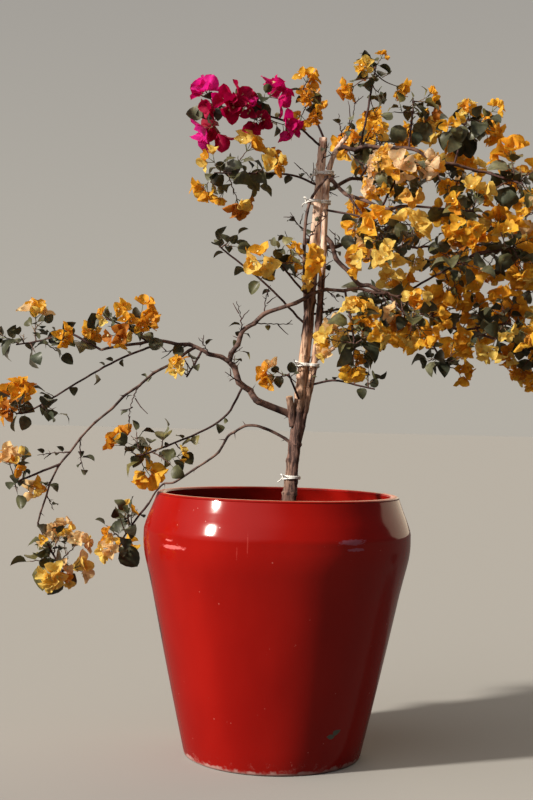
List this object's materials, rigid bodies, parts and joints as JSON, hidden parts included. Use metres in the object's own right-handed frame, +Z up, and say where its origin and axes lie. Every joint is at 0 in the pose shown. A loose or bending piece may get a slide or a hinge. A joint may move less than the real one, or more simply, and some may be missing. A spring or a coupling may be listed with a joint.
{
  "type": "bougainvillea bush in pot",
  "caption": "Flowering shrub with a slender leaning trunk tied to its side stems, an arching limb, a one-sided open crown of papery bracts and leaves, in a glazed tapering pot.",
  "frame": {"origin": "centre of the flat underside of the pot", "axes": "+Z up; +X to the right seen from the front, the side the crown spreads to; +Y to the back"},
  "size_m": [1.1491, 0.523, 1.3292],
  "materials": {
    "glaze": "gloss",
    "soil": "matte",
    "bark": "matte",
    "twine": "matte",
    "leaves": "matte",
    "golden_bracts": "matte",
    "peach_bracts": "matte",
    "magenta_bracts": "matte"
  },
  "bodies": {
    "root": {"arch_left": "bark", "arch_mid": "golden_bracts", "arch_near": "leaves", "arch_over": "bark", "arch_over_end": "bark", "arch_root": "bark", "arch_tip": "leaves", "beside_pot": "leaves", "bough_far": "bark", "bough_high": "bark", "bough_high_back": "bark", "bough_low": "bark", "bough_mid": "bark", "bough_mid_back": "bark", "lower_spray": "golden_bracts", "magenta_spray": "magenta_bracts", "pot": "glaze", "shaded_spray": "leaves", "soil": "soil", "spray_arch_end": "golden_bracts", "spray_back_high": "golden_bracts", "spray_back_low": "golden_bracts", "spray_back_mid": "golden_bracts", "spray_back_right": "golden_bracts", "spray_back_tip": "golden_bracts", "spray_back_top": "golden_bracts", "spray_by_stem": "leaves", "spray_by_trunk": "golden_bracts", "spray_crest": "golden_bracts", "spray_far_front": "golden_bracts", "spray_high_left": "golden_bracts", "spray_high_mid": "golden_bracts", "spray_high_tip": "golden_bracts", "spray_left_high": "golden_bracts", "spray_low_front": "golden_bracts", "spray_low_mid": "golden_bracts", "spray_low_tip": "golden_bracts", "spray_mid_low": "golden_bracts", "spray_mid_tip": "golden_bracts", "spray_pale": "peach_bracts", "spray_right": "golden_bracts", "spray_right_high": "golden_bracts", "spray_right_low": "golden_bracts", "spray_twiggy": "leaves", "sprig_front": "golden_bracts", "sprig_leaves": "leaves", "sprig_right": "leaves", "stem_left": "bark", "stem_right": "bark", "tie_1": "twine", "tie_2": "twine", "tie_3": "twine", "tie_4": "twine", "top_spray": "golden_bracts", "trunk": "bark", "twig_over_rim": "bark", "whip_end": "golden_bracts", "whip_high": "bark", "whip_low": "bark", "whip_side": "golden_bracts"}
  },
  "joints": []
}
